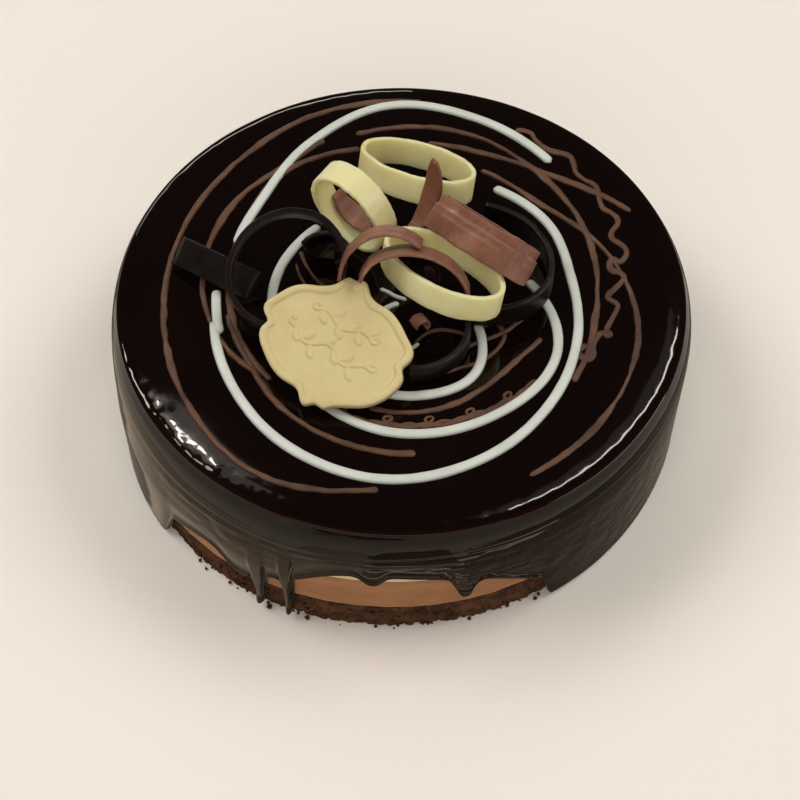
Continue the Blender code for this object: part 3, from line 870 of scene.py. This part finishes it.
whiteBand("ring_back", "white_ring_back", at=(5.5, 43.5, 73.4), axis=(70, 68),
          size=(21.8, 14.2), turn=174, width=10.0, wall=1.8, ragged=0.02)
whiteBand("ring_left", "white_ring_left", at=(-16.4, 21.4, 79.4), axis=(234, -4),
          size=(17.0, 14.0), turn=120, width=9.5, wall=1.8, ragged=0.03)
whiteBand("ring_centre", "white_ring_centre", at=(13.8, -8.0, 79.4), axis=(58, 72),
          size=(23.6, 14.8), turn=171, width=9.5, wall=1.8)
darkBand("dark_hoop", "dark_ring_left", at=(-38.8, -4.3, 76.7), axis=(275, 62),
         size=(21.9, 19.4), turn=45, width=8.0, wall=2.0)
darkBand("dark_ring", "dark_ring_right", at=(27.1, 5.6, 68.6), axis=(270, 89),
         size=(26.6, 23.0), turn=-32, width=9.6, wall=2.0, arc=(-82, 112))
darkBand("dark_arc", "dark_ring_front", at=(3.5, -22.5, 66.8), axis=(270, 89),
         size=(20.0, 19.0), turn=0, width=7.4, wall=2.0, arc=(-93, 6))
darkBand("dark_strip", "dark_curl_left", at=(-49.1, 30.3, 24.2), axis=(60, 35),
         size=(55.0, 55.0), turn=0, width=10.5, wall=1.8, arc=(73, 107), rough=1.6)
darkBand("dark_curl", "dark_curl_inner", at=(-26.5, 10.0, 68.0), axis=(250, 70),
         size=(9.0, 7.0), turn=20, width=8.0, wall=1.6, arc=(-60, 150))
milkBand("broad_curl", "milk_curl_broad", at=(27.4, 3.3, 83.7), axis=(50, 39),
         size=(21.2, 8.0), turn=0, width=12.5, wall=1.8, arc=(-172, 184), power=0.80,
         seams=((3.0, 0.80), (0.4, 0.20)), folds=0.24)
milkBand("arch_left", "milk_arch_left", at=(-4.2, -13.6, 81.4), axis=(266, 30),
         size=(17.1, 18.8), turn=0, width=9.0, wall=1.4, arc=(51, 176), seams=((1.6, 0.15),))
milkBand("arch_right", "milk_arch_right", at=(4.2, -17.0, 80.8), axis=(268, 30),
         size=(19.0, 14.9), turn=-13, width=9.0, wall=1.4, arc=(10, 180), seams=((-1.2, 0.15),))
milkBand("curved_shard", "milk_shard", at=(3.1, 17.2, 90.5), axis=(320, 0),
         size=(13.9, 20.5), turn=0, width=5.6, wall=1.5, arc=(-84, 19), folds=0.15,
         taper=(0.85, 1.12, 1.25, 1.28, 1.05, 0.42))
milkBand("inner_curl", "milk_curl_left", at=(-15.5, 25.5, 79.0), axis=(234, -4),
         size=(12.0, 10.0), turn=120, width=8.0, wall=1.4, arc=(80, 260),
         taper=(0.55, 0.95, 1.1, 1.1, 0.9, 0.45))
milkBand("small_chip", "milk_chip", at=(6.3, -19.0, 66.0), axis=(300, 10),
         size=(3.0, 2.6), turn=0, width=5.0, wall=1.0, arc=(-60, 170), rough=0.6)
print("chocolate bands done")


# white chocolate plaque with a sprig in low relief

plaque = {
    "at": (-22.0, -33.1, 73.0), "axis": (253, 71), "turn": -17.0, "length": 57.0 * mm,
    "breadth": 46.0 * mm, "thick": 3.2 * mm, "sink": 0.8 * mm, "reliefHeight": 0.55 * mm,
    "lobeRoom": (0.93, 0.90), "uneven": 0.12 * mm, "columns": 320, "fieldRows": 78,
    "fieldInset": 3.6 * mm,
    # the sprig's half widths and the soft edge of its strokes, in mm
    "stem": 0.42, "leaf": 0.95, "curl": 0.40, "softEdge": 0.35, "margin": 5,
}
# outline lobes: angle, height in mm, half width in degrees
plaqueLobes = ((107, 2.6, 6), (96, 2.9, 5.5), (128, -2.2, 16), (80, -1.2, 9), (31, 1.3, 9),
               (13, -1.8, 6.5), (306, -0.6, 12), (289, 1.4, 5), (275, 2.7, 5.5), (262, -1.2, 10),
               (212, 0.5, 9), (195, -2.0, 6), (181, 1.4, 10))


def plaqueOutline(phi):
    x = 0.5 * plaque["length"] * plaque["lobeRoom"][0] * math.cos(phi)
    y = 0.5 * plaque["breadth"] * plaque["lobeRoom"][1] * math.sin(phi)
    degrees = math.degrees(phi) % 360.0
    push = sum(tall * mm * bell((degrees - at + 180) % 360 - 180, half)
               for at, tall, half in plaqueLobes)
    reach = math.hypot(x, y)
    return x * (1 + push / reach), y * (1 + push / reach)


# the two stems: left and right end, height above the middle and swing in mm, number of leaves
stems = ((-12.0, 11.0, 6.8, 1.3, 6), (-16.5, 15.5, -3.2, 1.7, 8))


def sprigStrokes():
    # wavy stems with leaves and curled ends, as points in mm, half width, and whether it is a leaf
    strokes = []
    steps = 44
    for row, (left, right, level, swing, leaves) in enumerate(stems):
        xs = [left + (right - left) * k / steps for k in range(steps + 1)]
        stem = [(x, level + swing * math.sin((x - left) * 0.42 + row * 1.4)) for x in xs]
        strokes.append((stem, plaque["stem"], False))
        for k in range(leaves):
            x, y = stem[int((k + 0.7) * steps / (leaves + 0.6))]
            side = 1 if k % 2 else -1
            leaf = [(x + 0.4 + 2.7 * m / 8, y + side * (0.5 + 3.0 * (m / 8) ** 0.8))
                    for m in range(9)]
            strokes.append((leaf, plaque["leaf"], True))
        for (x, y), way in ((stem[0], -1), (stem[-1], 1)):
            curl = []
            for m in range(14):
                a = m / 13 * 4.4
                r = 1.7 * (1 - m / 17)
                curl.append((x + way * r * math.sin(a), y + 1.7 - r * math.cos(a)))
            strokes.append((curl, plaque["curl"], False))
    return strokes


def reliefAt(x, y, strokes):
    best = 0.0
    soft = plaque["softEdge"]
    for points, half, leafy in strokes:
        # a stroke further off to the side can't reach this point
        left, right = sorted((points[0][0], points[-1][0]))
        if not left - plaque["margin"] < x < right + plaque["margin"]:
            continue
        for i in range(len(points) - 1):
            ax, ay = points[i]
            dx, dy = points[i + 1][0] - ax, points[i + 1][1] - ay
            s = clamp(((x - ax) * dx + (y - ay) * dy) / (dx * dx + dy * dy + 1e-9))
            distance = math.hypot(x - ax - dx * s, y - ay - dy * s)
            reach = half
            if leafy:
                along = min(0.999, (i + s) / (len(points) - 1))
                reach *= 0.35 + 1.3 * math.sin(math.pi * along) ** 0.7
            if distance < reach + soft:
                best = max(best, ease(1 - (distance - reach * 0.35) / (reach * 0.65 + soft)))
    return best


def buildPlaque():
    u, v, n = axisFrame(*plaque["axis"], plaque["turn"])
    centre = Vector(plaque["at"]) * mm
    count, fieldRows = plaque["columns"], plaque["fieldRows"]
    top = plaque["thick"] / 2
    field = top - plaque["sink"]
    strokes = sprigStrokes()
    # inset and level in mm: over the back edge, up the side, across the rim, down to the field
    edges = [(0.9, 0.0, False), (0.35, 0.2, False), (0.0, 0.7, False), (0.0, -0.9, True),
             (0.10, -0.45, True), (0.38, -0.12, True), (0.75, 0.0, True), (1.7, 0.0, True),
             (2.3, -0.05, True), (2.65, -0.25, True), (2.9, -0.55, True), (3.2, -0.74, True)]
    rings = [(inset * mm, level * mm + (top if upper else -top)) for inset, level, upper in edges]
    rings.append((plaque["fieldInset"], field))
    outline = [plaqueOutline(2 * math.pi * i / count) for i in range(count)]
    verts = []

    def place(x, y, level):
        uneven = plaque["uneven"] * wobble((x, y, 0), 9 * mm, 21)
        return centre + u * x + v * y + n * (level + (uneven if level > 0 else 0.0))

    for inset, level in rings:
        for x, y in outline:
            keep = 1 - inset / math.hypot(x, y)
            verts.append(place(x * keep, y * keep, level))
    for k in range(1, fieldRows):
        for x, y in outline:
            keep = (1 - plaque["fieldInset"] / math.hypot(x, y)) * (1 - k / fieldRows)
            rise = reliefAt(x * keep / mm, y * keep / mm, strokes)
            verts.append(place(x * keep, y * keep, field + plaque["reliefHeight"] * rise))
    faces = tubeFaces(len(rings) + fieldRows - 1, count)
    makePiece("plaque", verts, faces, finishes["ivoryPlaque"], ["white_plaque"])


buildPlaque()
print("plaque done")


# table, light and camera

studio = {
    "floorColour": (0.955, 0.860, 0.748), "floorRadii": (0.165, 3.0, 12.0), "floorCorners": 128,
    "world": (0.050, 0.049, 0.047), "target": (0.0, 0.0, 0.05),
    "lens": 76.5, "sensor": 36.0, "camera": (-0.43, -371.05, 523.41), "cameraTilt": 35.0,
    # azimuth, elevation, distance, width, height, radiance, and what the light is for: shade
    # lights the matt parts, shine is only mirrored, both does both
    "lights": [
        ("left_softbox", 168, 52, 5.0, 2.9, 2.4, 4.7, "shade"),
        ("right_softbox", 16, 52, 5.0, 2.9, 2.4, 4.2, "shade"),
        ("top_fill", 270, 65, 4.0, 2.5, 2.5, 1.0, "shade"),
        ("back_fill", 95, 50, 4.0, 2.0, 2.0, 1.8, "shade"),
        ("front_fill", 270, 32, 4.0, 5.0, 1.5, 2.0, "both"),
        ("left_sheen", 168, 52, 5.0, 2.9, 2.4, 1.8, "shine"),
        ("right_sheen", 16, 52, 5.0, 2.9, 1.2, 1.3, "shine"),
        ("right_panel", 345, 23, 2.0, 1.7, 0.5, 8.5, "shine"),
        ("left_glow", 121, 60, 1.6, 0.36, 0.20, 2.0, "shine"),
        ("left_haze", 126, 61.5, 1.6, 0.30, 0.34, 1.4, "shine"),
        ("left_patch", 129, 58, 1.6, 0.22, 0.12, 2.0, "shine"),
        ("left_window", 124, 60, 1.6, 0.06, 0.10, 80.0, "shine"),
        ("left_lamp", 150, 60, 1.6, 0.10, 0.20, 17.0, "shine"),
        ("rim_lamp", 148, 46, 1.6, 0.10, 0.35, 28.0, "shine"),
        ("right_strip", 50, 60, 1.6, 0.05, 0.75, 34.0, "shine"),
        ("right_glow", 58, 62, 1.6, 0.16, 0.75, 0.55, "shine"),
        ("back_strip", 108, 26, 1.3, 0.8, 0.05, 12.0, "shine"),
        ("table_sheen", 270, -90, 0.25, 3.0, 3.0, 0.14, "shine"),
        ("low_left_sheen", 200, -35, 0.7, 1.4, 0.9, 0.44, "shine"),
        ("low_right_sheen", 350, -30, 0.7, 0.5, 0.07, 1.6, "shine"),
        ("low_front_sheen", 305, -42, 0.7, 0.35, 0.05, 1.6, "shine"),
        ("low_middle_sheen", 275, -55, 0.7, 0.30, 0.06, 1.0, "shine"),
    ],
    # lights below the table stand for what a low warm surface would give to the side of the coat
    "warm": (1.0, 0.78, 0.56),
}


def buildTable(name, radii, finish):
    count = studio["floorCorners"]
    verts = [polar(360 * k / count, radius, 0.0) for radius in radii for k in range(count)]
    mesh = bpy.data.meshes.new(name)
    mesh.from_pydata(verts, [], ringFaces(len(radii), count) or [tuple(range(count))])
    mesh.materials.append(finish)
    table = bpy.data.objects.new(name, mesh)
    bpy.context.scene.collection.objects.link(table)
    return table


def buildStudio():
    finish = paleFloor(studio["floorColour"])
    buildTable("table_top", studio["floorRadii"], finish)
    # close to the cake the glaze mirrors the low warm lights rather than the pale table
    buildTable("table_middle", studio["floorRadii"][:1], finish).visible_glossy = False
    world = bpy.data.worlds.new("studio")
    world.use_nodes = True
    world.node_tree.nodes["Background"].inputs["Color"].default_value = (*studio["world"], 1.0)
    bpy.context.scene.world = world
    for name, az, el, far, wide, tall, radiance, use in studio["lights"]:
        lamp = bpy.data.lights.new(name, "AREA")
        lamp.shape = "RECTANGLE"
        lamp.size, lamp.size_y = wide, tall
        lamp.energy = radiance * math.pi * wide * tall
        if el < 0:
            lamp.color = studio["warm"]
        obj = bpy.data.objects.new(name, lamp)
        e = math.radians(el)
        way = polar(az, math.cos(e), math.sin(e))
        obj.location = Vector(studio["target"]) + way * far
        obj.rotation_euler = way.to_track_quat("Z", "Y").to_euler()
        obj.visible_glossy = use != "shade"
        obj.visible_diffuse = use != "shine"
        bpy.context.scene.collection.objects.link(obj)


def buildCamera():
    data = bpy.data.cameras.new("view")
    data.lens = studio["lens"]
    data.sensor_width = studio["sensor"]
    camera = bpy.data.objects.new("view", data)
    camera.location = Vector(studio["camera"]) * mm + middle
    camera.rotation_euler = (math.radians(studio["cameraTilt"]), 0.0, 0.0)
    bpy.context.scene.collection.objects.link(camera)
    bpy.context.scene.camera = camera


buildStudio()
buildCamera()
bpy.context.scene.view_settings.view_transform = "Standard"
print("studio and camera done")
